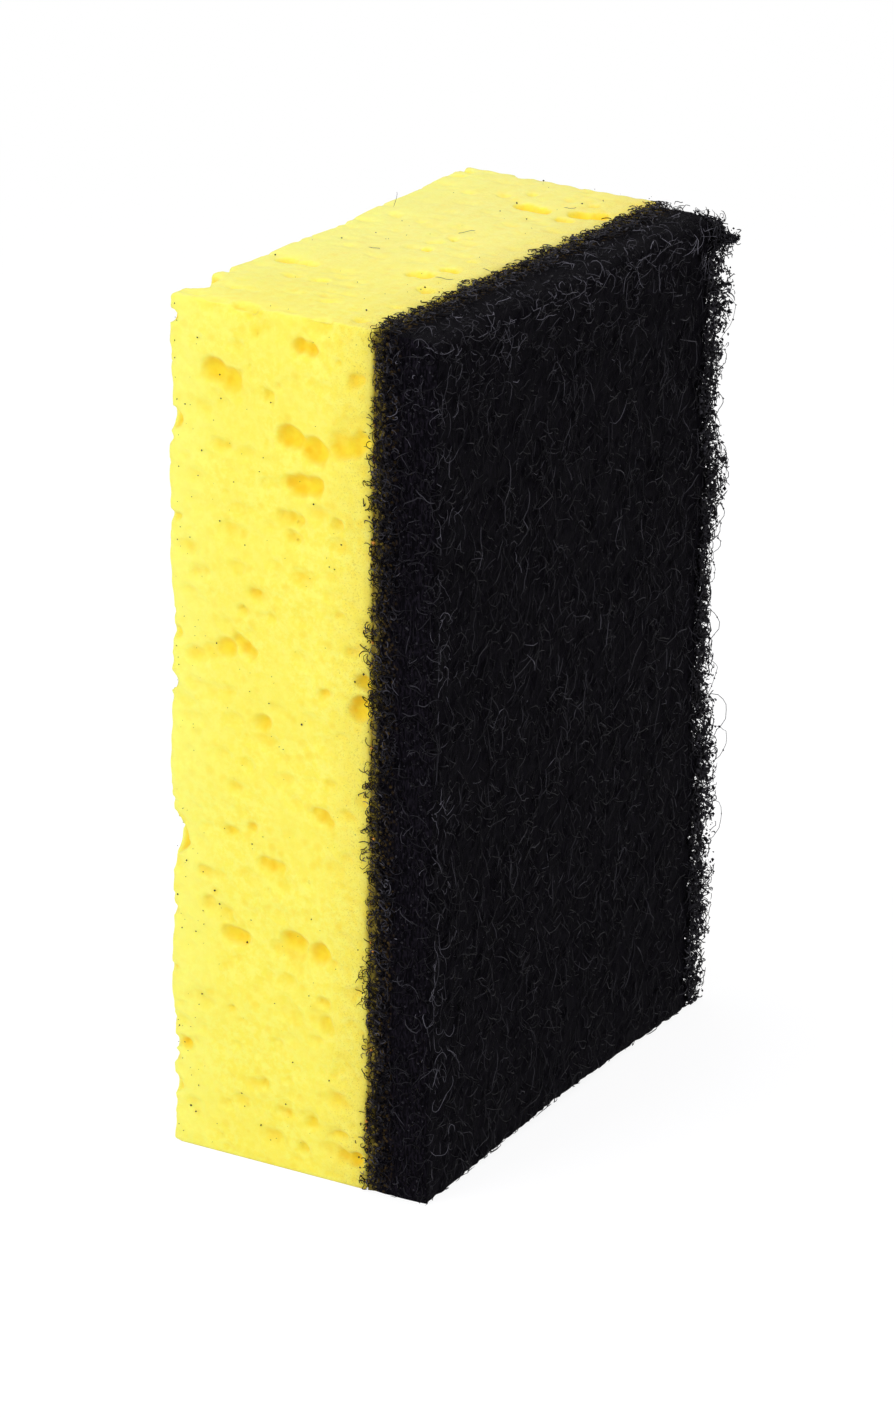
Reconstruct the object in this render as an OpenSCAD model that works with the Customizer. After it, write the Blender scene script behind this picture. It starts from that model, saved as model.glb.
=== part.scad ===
// Household cleaning sponge that stands on one end: a foam block full of open cells, with a scouring
// pad of matted fibre glued to one of its broad faces. X runs through the thickness and the pad is on
// the +X side, Y runs across the width, and Z runs up the length.

/* [Foam block] */
// Length of the sponge, which is its height as it stands
length = 109.2; // [80:0.2:140]
// Width of the broad faces
width = 71.2; // [50:0.2:95]
// Thickness of the foam block
foam_t = 27.2; // [16:0.2:45]
// Radius of the foam's cut edges
edge_r = 0.8; // [0.6:0.1:3]

/* [Foam cells] */
// Share of each face that a scattered cell has to itself, in square millimetres
cell_area = 84; // [60:2:200]
// Smallest opening of a scattered cell
cell_min = 1; // [0.8:0.1:1.8]
// Largest opening of a scattered cell
cell_max = 3.6; // [2:0.1:5]
// Depth of a scattered cell, as a share of its opening
cell_depth = 0.42; // [0.25:0.01:0.6]
// Seed of the scatter
cell_seed = 7; // [1:1:99]

/* [Scouring pad] */
// Thickness of the scouring pad
pad_t = 8.2; // [5:0.2:14]
// Rounding of the pad's outer edges
pad_r = 1.8; // [1:0.1:4]
// Depth of the hollows in the matted face
mat_depth = 0.9; // [0.3:0.1:1.4]
// Distance between tufts of the mat
tuft_pitch = 2.8; // [2.4:0.1:4]
// How rough the cut sides of the mat are
fray = 0.6; // [0.2:0.1:1]
// How far the cut sides taper in from the glue to the face, where loose fibres stand out of them
fringe = 1; // [0.6:0.1:2]
// How far the pad's lower cut side bows up in the middle
bow = 1.2; // [0:0.1:2]
// How far the pad's far cut side, whose web is the loosest, wanders in
wander = 1.2; // [0:0.1:2]
// How far the pad's worn far top corner hangs down at its face
corner_drop = 0.8; // [0:0.1:4]
// Thickness of a strand of fibres
strand_d = 0.6; // [0.4:0.1:1]
// Number of strands that lie on the matted face
face_strands = 32; // [10:1:40]
// Step between the bends of such a strand
strand_step = 4.2; // [2.5:0.1:6]
// Tightest radius that such a strand bends to
strand_bend = 9; // [6:0.5:20]
// Distance between the loops along the cut sides
loop_pitch = 8; // [7:0.5:20]
// Widest distance between the two ends of a loop
loop_w = 4.4; // [3:0.2:6]

/* [Glue film] */
// Thickness of the glue film between the foam and the pad
film_t = 0.2; // [0.1:0.05:0.5]
// How far the film stays inside the pad, where the pad's cut sides lie furthest in
film_inset = 0.8; // [0.6:0.1:3]

/* [Hidden] */
$fn = 36;

// Planes across the thickness, from the foam's free face to the pad's outer face
thickness = foam_t + film_t + pad_t;
back_x = -thickness / 2;
foam_x = back_x + foam_t;
film_x = foam_x + film_t;
front_x = film_x + pad_t;

// Cells that show on the near side, as [percent across from the free face, percent up,
// long opening, short opening, depth, lean in degrees]
NEAR_CELLS = [
    [25, 92, 6.0, 3.8, 1.4, -22], [66, 96.5, 3.8, 2.3, 1.3, -8], [42, 97, 1.7, 1.4, 0.7, 0],
    [83, 95.5, 1.5, 1.2, 0.6, 0], [92, 94, 2.8, 2.0, 1.0, 0], [48, 90.5, 1.7, 1.5, 0.5, 0],
    [25, 84, 2.7, 1.8, 0.8, -5], [59, 86.2, 4.2, 3.2, 1.5, -15], [71, 85.2, 4.4, 3.6, 1.6, -25],
    [84, 86.8, 4.0, 3.8, 0.9, 10], [59, 77.2, 4.3, 2.1, 1.0, -6], [82, 77.4, 1.9, 1.7, 0.9, 0],
    [61, 75, 2.3, 1.6, 0.8, 0], [15, 69.5, 3.2, 1.9, 0.6, 0], [41, 68, 2.0, 1.7, 0.9, -20],
    [48, 65.5, 3.1, 1.7, 0.5, -8], [36, 61.5, 4.5, 2.1, 1.2, -32], [91, 63.5, 3.0, 1.6, 0.8, 5],
    [97, 60, 2.4, 1.8, 1.0, 0], [76, 58, 1.8, 1.6, 0.9, 60], [86, 53.5, 2.0, 1.4, 0.5, 0],
    [37, 48, 2.7, 1.8, 0.6, -10], [32, 45, 3.1, 2.3, 0.7, -15], [80, 47.5, 1.9, 1.3, 0.7, 0],
    [76, 43.5, 4.2, 2.0, 1.1, -27], [88, 44.5, 2.7, 1.5, 0.8, -12], [30, 39.5, 2.3, 1.5, 0.8, 0],
    [50, 36.5, 4.9, 2.6, 1.2, -7], [19, 34, 4.4, 2.2, 0.6, 0], [21, 30, 3.6, 2.2, 0.6, -8],
    [31, 27, 4.4, 2.5, 1.3, -8], [59, 26.8, 6.0, 2.9, 0.9, 0], [82, 26.4, 1.9, 1.4, 0.7, 0],
    [77, 21.5, 2.3, 1.5, 0.8, -8], [95, 24, 1.5, 1.4, 0.7, 0], [30, 18.3, 1.6, 1.3, 0.7, 0],
    [53, 15.4, 1.9, 1.3, 0.6, 0], [83, 13, 5.0, 1.8, 0.5, -17], [47, 10.2, 1.6, 1.3, 0.9, 0],
    [56, 7, 2.7, 1.5, 0.8, 0], [72, 6.4, 2.1, 1.7, 1.0, 0], [86, 6, 3.3, 1.8, 1.0, 0],
    [91, 3.4, 2.8, 1.8, 1.1, -10]
];

// Cells that break the upright edge between the near side and the free face, as [0, percent up, ...]
EDGE_CELLS = [
    [0, 97.5, 2.4, 1.6, 1.0, 0], [0, 86, 3.6, 3.0, 1.5, 0], [0, 75, 3.8, 1.6, 1.2, 0],
    [0, 61.5, 3.0, 1.8, 1.1, 0], [0, 37.3, 4.8, 4.4, 2.4, 0], [0, 28.6, 2.0, 1.6, 0.8, 0],
    [0, 21.5, 2.6, 1.8, 1.0, 0], [0, 12.3, 5.6, 2.0, 1.4, 0], [0, 7, 3.0, 2.6, 1.3, 0]
];

// Cells that show on the top, as [percent across from the free face, percent along from the near
// side, long opening, short opening, depth, lean]. The first two break its edges.
TOP_CELLS = [
    [1, 9, 6.5, 4.0, 2.2, 90], [35, 1, 4.2, 2.2, 1.0, 0], [59, 82, 5.4, 3.2, 1.4, -8],
    [80, 79, 2.5, 1.6, 0.8, 0], [82, 37, 2.8, 1.9, 1.0, -5], [55, 47, 1.9, 1.7, 0.9, 0],
    [15, 64, 2.4, 1.8, 0.5, 0], [91, 13, 1.7, 1.2, 0.6, 0], [61, 10, 2.0, 1.3, 0.6, 0],
    [64, 15.5, 2.2, 1.2, 0.5, 0], [88, 4, 2.0, 1.4, 0.7, 0], [23, 84, 2.0, 1.6, 0.5, 0],
    [38, 86, 2.2, 1.8, 0.5, 0]
];

// The foam's cut faces: name, size across and size along
FACES = [
    ["near", foam_t, length], ["top", foam_t, width], ["far", foam_t, length],
    ["bottom", foam_t, width], ["back", width, length]
];

// Puts its children in a face's own plane, with local Z pointing out of the foam
module on_face(name) {
    if (name == "near") translate([back_x, -width / 2, 0]) rotate([90, 0, 0]) children();
    if (name == "top") translate([back_x, -width / 2, length]) children();
    if (name == "far") translate([foam_x, width / 2, 0]) rotate([90, 0, 180]) children();
    if (name == "bottom") translate([back_x, width / 2, 0]) rotate([180, 0, 0]) children();
    if (name == "back") translate([back_x, width / 2, 0]) rotate([90, 0, -90]) children();
}

// One bubble that the cut has opened: a ball that leaves a dish of this opening and depth
module bubble(opening, depth) {
    half = opening / 2;
    ball_r = (half * half + depth * depth) / (2 * depth);
    translate([0, 0, ball_r - depth]) sphere(ball_r);
}

// An open cell: a bubble, or where it is long, a row of bubbles that have run together
module cell(long, short, depth, lean) {
    count = long < 1.15 * short ? 1 : long < 1.75 * short ? 2 : 3;
    step = count == 1 ? 0 : (long - short) / (count - 1);
    rotate([0, 0, lean])
        for (i = [0 : count - 1]) {
            end_share = count == 3 && i != 1 ? 0.82 : i == 0 ? 1 : 0.92;
            translate([(i - (count - 1) / 2) * step, 0, 0])
                bubble(short * end_share, depth * end_share);
        }
}

// The cells of a list, each at its percentages of the face
module marked_cells(face, list) {
    on_face(face[0])
        for (c = list)
            translate([face[1] * c[0] / 100, face[2] * c[1] / 100, 0])
                cell(c[2], c[3], c[4], c[5]);
}

// Cells scattered over a face, most of them small
module scattered_cells(face, seed) {
    count = floor(face[1] * face[2] / cell_area);
    across = rands(0.01, 0.99, count, seed);
    along = rands(0.01, 0.99, count, seed + 1);
    size = rands(0, 1, count, seed + 2);
    stretch = rands(0.7, 1.7, count, seed + 3);
    lean = rands(-40, 40, count, seed + 4);
    on_face(face[0])
        for (i = [0 : count - 1]) {
            opening = cell_min + (cell_max - cell_min) * pow(size[i], 3);
            translate([face[1] * across[i], face[2] * along[i], 0])
                cell(opening * max(1, stretch[i]), opening, opening * cell_depth, lean[i]);
        }
}

// A rectangle whose two corners at X = 0 are rounded
module free_edge_profile(w, h) {
    translate([edge_r, 0]) square([w - edge_r, h]);
    translate([0, edge_r]) square([w, h - 2 * edge_r]);
    for (y = [edge_r, h - edge_r]) translate([edge_r, y]) circle(edge_r);
}

// The cut block before its cells: every free edge is rounded, and the glued face is square
module foam_blank() {
    intersection() {
        translate([back_x, -width / 2, 0])
            linear_extrude(length) free_edge_profile(foam_t, width);
        translate([back_x, width / 2, 0])
            rotate([90, 0, 0]) linear_extrude(width) free_edge_profile(foam_t, length);
    }
}

module foam_block() {
    color("#fdf06c")
        difference() {
            foam_blank();
            marked_cells(FACES[0], NEAR_CELLS);
            marked_cells(FACES[0], EDGE_CELLS);
            marked_cells(FACES[1], TOP_CELLS);
            for (i = [0 : len(FACES) - 1])
                scattered_cells(FACES[i], cell_seed + 10 * i);
        }
}

module glue_film() {
    margin = film_inset + max(bow, wander, corner_drop);
    color("#d8a83c")
        translate([foam_x, -width / 2 + margin, margin])
            cube([film_t, width - 2 * margin, length - 2 * margin]);
}

// The pad's face is a grid of tufts, and rings of points carry it round the outer edge and down the
// frayed sides to the glue
mat_w = width - 2 * fringe;
mat_h = length - 2 * fringe;
tufts_y = round((mat_w - 2 * pad_r) / tuft_pitch);
tufts_z = round((mat_h - 2 * pad_r) / tuft_pitch);
rim_count = 2 * (tufts_y + tufts_z);
side_rings = ceil((pad_t - pad_r) / tuft_pitch);
turn_rings = 2;
ring_count = turn_rings + side_rings;
face_count = (tufts_y + 1) * (tufts_z + 1);
lumps = rands(0, 1, face_count, 31);
frays = rands(0, 1, rim_count * ring_count, 32);

// Grid place of rim point k, which runs round the face from the near lower corner
function rim_place(k) =
    k < tufts_y ? [k, 0]
    : k < tufts_y + tufts_z ? [tufts_y, k - tufts_y]
    : k < 2 * tufts_y + tufts_z ? [2 * tufts_y + tufts_z - k, tufts_z]
    : [0, rim_count - k];

// Slow rise and fall of the whole mat at tuft i, j, from 0 to 1, with ridges that run up it
function swell(i, j) =
    0.5 + 0.2 * sin(25 * i + 25 * sin(14 * j)) + 0.15 * sin(36 * j - 20 * i) + 0.15 * sin(64 * i + 8 * j);

// How far the outline lies in at a share of the way along each side: the lower side is one bow, the
// far side wanders, and the top falls away at its far corner
function lower_bow(share) = bow * 4 * share * (1 - share);
function far_wander(share) = wander * (0.5 + 0.3 * sin(1240 * share) + 0.2 * sin(2900 * share + 60));
function top_fall(share) = corner_drop * pow(share, 7);

// Grid points, whose columns and rows spread evenly over the outline
function grid_y(i, j) =
    -mat_w / 2 + pad_r + (mat_w - 2 * pad_r - far_wander(j / tufts_z)) * i / tufts_y;
function grid_z(i, j) =
    let (share = i / tufts_y,
         low = fringe + pad_r + lower_bow(share),
         high = length - fringe - pad_r - top_fall(share))
    low + (high - low) * j / tufts_z;

// How deep a face point lies: lumps on the swell
function hollow(i, j) = mat_depth * (0.55 * lumps[i * (tufts_z + 1) + j] + 0.45 * swell(i, j));

function face_point(i, j) = [front_x - hollow(i, j), grid_y(i, j), grid_z(i, j)];

// Way out of the face at a rim point, which turns through the corner over its last few points
function way_out(place) =
    let (y = 2 * place[0] / tufts_y - 1, z = 2 * place[1] / tufts_z - 1,
         lean_y = sign(y) * pow(abs(y), 30), lean_z = sign(z) * pow(abs(z), 30))
    [lean_y, lean_z] / norm([lean_y, lean_z]);

// A point of ring r: round the edge at first, then straight back to the glue, where the worn corner
// has its full height again
function ring_point(r, k) =
    let (place = rim_place(k),
         start = face_point(place[0], place[1]),
         angle = min(1, (r + 1) / turn_rings) * 90,
         back = max(0, r + 1 - turn_rings) / side_rings,
         out = pad_r * sin(angle) + fringe * back - fray * frays[r * rim_count + k],
         way = way_out(place),
         fade = 1 - cos(angle),
         x = start[0] + fade * (front_x - start[0]) - pad_r * fade - (pad_t - pad_r) * back,
         lift = back * top_fall(place[0] / tufts_y) * place[1] / tufts_z)
    [x, start[1] + out * way[0], start[2] + out * way[1] + lift];

module mat() {
    points = concat(
        [for (i = [0 : tufts_y]) for (j = [0 : tufts_z]) face_point(i, j)],
        [for (r = [0 : ring_count - 1]) for (k = [0 : rim_count - 1]) ring_point(r, k)],
        [[film_x, 0, length / 2]]
    );
    function face_id(i, j) = i * (tufts_z + 1) + j;
    // The corners of the square from tuft i, j, in turn. The first one moves on from square to square,
    // so that the diagonals alternate.
    function square_ids(i, j) =
        let (ring = [face_id(i, j), face_id(i, j + 1), face_id(i + 1, j + 1), face_id(i + 1, j)])
        [for (k = [0 : 3]) ring[(k + i + j) % 4]];
    function ring_id(r, k) =
        r < 0 ? face_id(rim_place(k)[0], rim_place(k)[1]) : face_count + r * rim_count + k;
    glued_centre = len(points) - 1;
    faces = concat(
        [for (i = [0 : tufts_y - 1]) for (j = [0 : tufts_z - 1]) for (half = [0, 1])
            let (ids = square_ids(i, j)) [ids[0], ids[half + 1], ids[half + 2]]],
        [for (r = [-1 : ring_count - 2]) for (k = [0 : rim_count - 1]) for (half = [0, 1])
            let (next = (k + 1) % rim_count)
            half == 0 ? [ring_id(r, k), ring_id(r, next), ring_id(r + 1, next)]
                      : [ring_id(r, k), ring_id(r + 1, next), ring_id(r + 1, k)]],
        [for (k = [0 : rim_count - 1])
            [glued_centre, ring_id(ring_count - 1, k), ring_id(ring_count - 1, (k + 1) % rim_count)]]
    );
    polyhedron(points, faces);
}

// A strand of fibres along a path. Its bead is at most strand_d across in any direction.
module strand(path) {
    for (k = [0 : len(path) - 2])
        hull() for (end = [k, k + 1])
            translate(path[end]) rotate([0, 45, 0]) cube(strand_d / sqrt(2), center = true);
}

// Strands that curve up the matted face, dive into it at both ends and come up between
module face_strands() {
    bends = 6;
    start_y = rands(-0.48, 0.48, face_strands, 41);
    start_z = rands(0.02, 0.8, face_strands, 42);
    heading = rands(-32, 32, face_strands, 43);
    bend_r = rands(strand_bend, 5 * strand_bend, face_strands, 44);
    side = rands(-1, 1, face_strands, 45);
    top_x = front_x - strand_d / 2;
    low_y = -mat_w / 2 + pad_r;
    high_y = mat_w / 2 - pad_r - wander;
    low_z = fringe + pad_r + bow;
    high_z = length - fringe - pad_r - corner_drop;
    for (i = [0 : face_strands - 1]) {
        r = sign(side[i]) * bend_r[i];
        turn = strand_step / r * 180 / PI;
        strand([for (k = [0 : bends])
            let (angle = heading[i] + k * turn,
                 y = mat_w * start_y[i] + r * (cos(angle) - cos(heading[i])),
                 z = fringe + mat_h * start_z[i] + r * (sin(angle) - sin(heading[i])),
                 dive = k == 0 || k == bends ? mat_depth + strand_d : k % 2 == 0 ? mat_depth / 2 : 0)
            [top_x - dive, min(high_y, max(low_y, y)), min(high_z, max(low_z, z))]]);
    }
}

// A loose loop that stands out along +Y and reaches this far from its buried ends
module loop(reach, spread) {
    strand([for (angle = [0 : 36 : 180]) [spread / 2 * cos(angle), reach * sin(angle), 0]]);
}

// Loops along one cut side, whose middle is at the origin and whose way out is +Y. Their ends are
// buried where the side lies furthest in.
module side_loops(run, furthest_in, seed) {
    root = fray + furthest_in + strand_d / 2;
    count = floor(run / loop_pitch);
    shift = rands(-0.3, 0.3, count, seed);
    reach = rands(0.55, 1, count, seed + 1);
    spread = rands(loop_w / 2, loop_w, count, seed + 2);
    tilt = rands(-35, 35, count, seed + 3);
    level = rands(0, 1, count, seed + 4);
    low_x = film_x + pad_t * 0.4;
    for (i = [0 : count - 1])
        translate([
            low_x + (front_x - pad_r * 0.6 - low_x) * level[i],
            -root,
            ((i + 0.5 + shift[i]) / count - 0.5) * run
        ])
            rotate([0, 90 + tilt[i], 0])
                loop((fringe + root - strand_d / 2) * reach[i], spread[i]);
}

module edge_loops() {
    side_run = length - 4 * pad_r;
    end_run = width - 4 * pad_r;
    translate([0, mat_w / 2, length / 2]) side_loops(side_run, wander, 51);
    translate([0, -mat_w / 2, length / 2]) rotate([180, 0, 0]) side_loops(side_run, 0, 61);
    translate([0, 0, length - fringe]) rotate([90, 0, 0]) side_loops(end_run, corner_drop, 71);
    translate([0, 0, fringe]) rotate([-90, 0, 0]) side_loops(end_run, bow, 81);
}

module scouring_pad() {
    color("#17161c") {
        mat();
        face_strands();
        edge_loops();
    }
}

foam_block();
glue_film();
scouring_pad();
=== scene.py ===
"""Looks of a cleaning sponge: yellow open-cell foam with a black scouring pad of matted fibres."""

import math

import bpy
import numpy as np
from mathutils import Matrix, Vector


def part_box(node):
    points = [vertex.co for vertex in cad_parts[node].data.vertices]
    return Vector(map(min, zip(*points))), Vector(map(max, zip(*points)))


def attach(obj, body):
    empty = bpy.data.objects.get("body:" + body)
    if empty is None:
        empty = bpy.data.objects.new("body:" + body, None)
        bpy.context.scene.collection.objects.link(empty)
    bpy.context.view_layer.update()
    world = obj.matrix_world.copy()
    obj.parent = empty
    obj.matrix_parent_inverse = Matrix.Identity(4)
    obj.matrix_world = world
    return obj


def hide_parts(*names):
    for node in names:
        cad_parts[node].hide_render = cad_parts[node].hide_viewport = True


MM = 0.001
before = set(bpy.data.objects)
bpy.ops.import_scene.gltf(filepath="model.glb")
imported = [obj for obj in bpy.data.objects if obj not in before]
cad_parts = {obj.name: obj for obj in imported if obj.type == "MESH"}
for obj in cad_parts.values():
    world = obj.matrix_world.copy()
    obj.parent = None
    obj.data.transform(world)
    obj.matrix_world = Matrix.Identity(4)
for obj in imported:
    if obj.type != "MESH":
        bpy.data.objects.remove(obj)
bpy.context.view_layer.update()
rng = np.random.default_rng(11)

# Planes of the sponge, in millimetres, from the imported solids
foam_lo, foam_hi = (np.array(c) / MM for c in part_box("foam_block"))
BACK_X, SEAM_X = foam_lo[0], foam_hi[0]
FRONT_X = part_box("scouring_pad")[1][0] / MM
HALF_W = foam_hi[1]
TOP_Z = foam_hi[2]
# Radius of the foam's cut edges, as in the solids
EDGE_R = 0.8
# How far the foam swells past its cut free face
SWELL = 0.8
# How far the foam's top dips at the far end of the seam
TOP_DIP = 0.6
# Grid of the foam's remesh, its small cells, and the triangles that it is cut down to
FOAM_GRID, SMALL_CELLS, FOAM_TRIANGLES = 0.38, 2600, 196000


# Node helpers

def new_material(name):
    material = bpy.data.materials.new(name)
    material.use_nodes = True
    material.node_tree.nodes.clear()
    return material, material.node_tree


def add(tree, kind, inputs=None, **settings):
    """A new node. Each input is a socket to link or a constant, under the input's name or number."""
    node = tree.nodes.new(kind)
    for key, value in settings.items():
        setattr(node, key, value)
    for key, value in (inputs or {}).items():
        if isinstance(value, bpy.types.NodeSocket):
            tree.links.new(value, node.inputs[key])
        else:
            node.inputs[key].default_value = value
    return node


def maths(tree, operation, a, b=0.0):
    return add(tree, "ShaderNodeMath", {0: a, 1: b}, operation=operation).outputs[0]


def times(tree, a, b):
    return maths(tree, "MULTIPLY", a, b)


def span(tree, value, low, high, to_low=0.0, to_high=1.0):
    """The value carried from one range to another, smoothly and held at both ends."""
    return add(tree, "ShaderNodeMapRange", {
        "Value": value, "From Min": low, "From Max": high, "To Min": to_low, "To Max": to_high
    }, interpolation_type="SMOOTHSTEP").outputs["Result"]


def blend(tree, factor, a, b):
    """Colour a where the factor is 0, and colour b where it is 1."""
    # Inputs 6 and 7 are the node's two colours, and output 2 is their mix
    return add(tree, "ShaderNodeMix", {"Factor": factor, 6: a, 7: b}, data_type="RGBA").outputs[2]


def geometry(tree, output):
    return add(tree, "ShaderNodeNewGeometry").outputs[output]


def axes(tree, vector):
    return add(tree, "ShaderNodeSeparateXYZ", {0: vector}).outputs


def place_in_mm(tree):
    """The point that is being shaded, in millimetres."""
    scale = (1 / MM,) * 3
    return add(tree, "ShaderNodeVectorMath", {
        0: geometry(tree, "Position"), 1: scale
    }, operation="MULTIPLY").outputs[0]


def noise(tree, place, scale, detail=2.0, rough=0.5):
    return add(tree, "ShaderNodeTexNoise", {
        "Vector": place, "Scale": scale, "Detail": detail, "Roughness": rough
    }).outputs["Fac"]


def cells(tree, place, scale):
    """Distance from the middle of the nearest of many scattered cells."""
    return add(tree, "ShaderNodeTexVoronoi", {"Vector": place, "Scale": scale}).outputs["Distance"]


def bump(tree, strength, depth, height):
    """A surface direction for relief that is up to depth millimetres deep."""
    return add(tree, "ShaderNodeBump", {
        "Strength": strength, "Distance": depth * MM, "Height": height
    }).outputs[0]


def surface(tree, shader):
    add(tree, "ShaderNodeOutputMaterial", {"Surface": shader})


def rgb(red, green, blue):
    """A display colour from 0 to 255 as the linear colour that a shader takes."""
    channels = [c / 255 for c in (red, green, blue)]
    return tuple(c / 12.92 if c <= 0.04045 else ((c + 0.055) / 1.055) ** 2.4 for c in channels) + (1.0,)


# Materials

def foam_colour(tree, in_mm, shade):
    """Lemon in soft patches, with painted light paler on top and greener by the free face, and painted
    shade golden down the cells.
    """
    parts = axes(tree, in_mm)
    upward = axes(tree, geometry(tree, "Normal"))["Z"]
    grain = span(tree, noise(tree, in_mm, 1.0, 4.0, 0.66), 0.34, 0.66)
    lemon = blend(tree, grain, rgb(252, 243, 114), rgb(251, 234, 88))
    bright_patches = times(tree, span(tree, noise(tree, in_mm, 0.16, 3.0), 0.38, 0.62), 0.5)
    broad = blend(tree, bright_patches, lemon, rgb(251, 236, 98))
    spots = span(tree, cells(tree, in_mm, 0.55), 0.5, 0.1)
    patch = times(tree, spots, span(tree, noise(tree, in_mm, 0.3), 0.44, 0.62))
    mottled = blend(tree, times(tree, patch, 0.62), broad, rgb(249, 222, 70))
    # Painted top light: faces that look up are paler, the more so away from the near side
    farther = span(tree, parts["Y"], -HALF_W, HALF_W - 30, 0.12, 0.4)
    upper = times(tree, span(tree, upward, 0.5, 0.95), farther)
    paler = blend(tree, upper, mottled, rgb(253, 242, 160))
    # Painted backlight: paler and greener by the free face, as light shining through its thin edge
    painted_backlight = times(tree, span(tree, parts["X"], BACK_X + 9, BACK_X), 0.4)
    greener = blend(tree, painted_backlight, paler, rgb(250, 250, 132))
    # Painted shade: the foam turns golden down its cells, the more the deeper they are
    gold = blend(tree, span(tree, noise(tree, in_mm, 0.5), 0.35, 0.7), rgb(252, 222, 48), rgb(248, 204, 32))
    return blend(tree, times(tree, shade, 0.92), greener, gold)


def pad_dust_and_darkening(tree, in_mm, shade):
    """How much the foam is darkened by the pad: speckled black dust over an even darkening, most at the
    seam, less down the cells.
    """
    across = axes(tree, in_mm)["X"]
    near_pad = span(tree, across, SEAM_X - 8, SEAM_X + 1)
    soot = span(tree, noise(tree, in_mm, 4.5, 4.0, 0.8), 0.53, 0.66)
    # Speckled dust over an even darkening, which grows towards the seam
    dust_and_darkening = times(tree, near_pad, maths(tree, "ADD", times(tree, soot, 0.62), 0.16))
    seam_darkening = maths(tree, "ADD", times(tree, soot, 0.42), 0.36)
    at_seam = times(tree, span(tree, across, SEAM_X - 2.4, SEAM_X), seam_darkening)
    out_of_cells = maths(tree, "SUBTRACT", 1.0, times(tree, shade, 0.7))
    return times(tree, maths(tree, "MAXIMUM", dust_and_darkening, at_seam), out_of_cells)


def foam_material():
    """Lemon foam with golden painted shade down its cells, fine grain and a duller band by the pad."""
    material, tree = new_material("foam")
    in_mm = place_in_mm(tree)
    # How deep each point lies in a cell, which sets the painted shade
    deep = add(tree, "ShaderNodeAttribute", attribute_name="deep").outputs["Fac"]
    shade = span(tree, deep, 0.04, 1.2)
    dull = pad_dust_and_darkening(tree, in_mm, shade)
    fine = times(tree, cells(tree, in_mm, 2.1), 0.4)
    coarse = times(tree, noise(tree, in_mm, 1.5, 4.0, 0.65), 0.9)
    shader = add(tree, "ShaderNodeBsdfPrincipled", {
        "Base Color": blend(tree, dull, foam_colour(tree, in_mm, shade), rgb(176, 152, 66)),
        "Normal": bump(tree, 0.32, 0.22, maths(tree, "ADD", fine, coarse)),
        "Roughness": 0.88,
        "Specular IOR Level": 0.18,
        "Subsurface Weight": 0.4,
        "Subsurface Radius": (1.0, 0.75, 0.25),
        "Subsurface Scale": 0.0018,
        "Sheen Weight": 0.08,
    })
    surface(tree, shader.outputs[0])
    return material


def fibre_material():
    """Near-black fibres, each with its own shade up to the grey of a painted highlight, brownish where they
    meet the foam.
    """
    material, tree = new_material("pad_fibre")
    shade = add(tree, "ShaderNodeAttribute", attribute_name="shade").outputs["Fac"]
    across = axes(tree, geometry(tree, "Position"))["X"]
    near_glue = span(tree, across, (SEAM_X + 2.6) * MM, (SEAM_X - 0.2) * MM)
    dark = blend(tree, near_glue, rgb(10, 8, 14), rgb(26, 19, 11))
    shader = add(tree, "ShaderNodeBsdfPrincipled", {
        # The shade's grey end is painted highlight
        "Base Color": blend(tree, shade, dark, rgb(124, 122, 134)),
        "Roughness": 0.5,
        "Specular IOR Level": 0.1,
    })
    surface(tree, shader.outputs[0])
    return material


def core_material():
    """The pad's dark matted inside in fine upright streaks, with painted side light and the glue's stain
    near the seam.
    """
    material, tree = new_material("pad_core")
    in_mm = place_in_mm(tree)
    across = axes(tree, in_mm)["X"]
    upright = add(tree, "ShaderNodeMapping", {"Vector": in_mm, "Scale": (2.4, 2.4, 0.6)}).outputs[0]
    streaks = noise(tree, upright, 1.8, 5.0, 0.7)
    # Painted side light: the near and far sides are paler than the face
    facing = axes(tree, geometry(tree, "Normal"))["Y"]
    painted_side_light = span(tree, maths(tree, "ABSOLUTE", facing), 0.4, 0.9)
    bright = blend(tree, painted_side_light, rgb(21, 18, 26), rgb(38, 34, 44))
    black = blend(tree, span(tree, streaks, 0.42, 0.72), rgb(4, 3, 7), bright)
    past_seam = maths(tree, "ADD", across, times(tree, noise(tree, in_mm, 1.6, 4.0), 4.0))
    stained = span(tree, past_seam, SEAM_X + 5.4, SEAM_X + 3.2)
    beside = times(tree, span(tree, across, SEAM_X + 1.2, SEAM_X + 0.3), 0.7)
    open_gaps = maths(tree, "MAXIMUM", span(tree, cells(tree, in_mm, 1.9), 0.52, 0.3), beside)
    stain = blend(tree, span(tree, across, SEAM_X + 0.3, SEAM_X + 1.7), rgb(196, 174, 76), rgb(92, 74, 42))
    shader = add(tree, "ShaderNodeBsdfPrincipled", {
        "Base Color": blend(tree, times(tree, stained, open_gaps), black, stain),
        "Normal": bump(tree, 1.0, 0.5, streaks),
        "Roughness": 0.8,
        "Specular IOR Level": 0.04,
    })
    surface(tree, shader.outputs[0])
    return material


def glue_material():
    """Dried amber adhesive, a little glossy."""
    material, tree = new_material("glue")
    mottle = noise(tree, geometry(tree, "Position"), 900.0, 3.0)
    shader = add(tree, "ShaderNodeBsdfPrincipled", {
        "Base Color": blend(tree, mottle, rgb(214, 150, 40), rgb(176, 108, 22)),
        "Normal": bump(tree, 0.4, 0.1, mottle),
        "Roughness": 0.35,
    })
    surface(tree, shader.outputs[0])
    return material


# Mesh helpers

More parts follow.
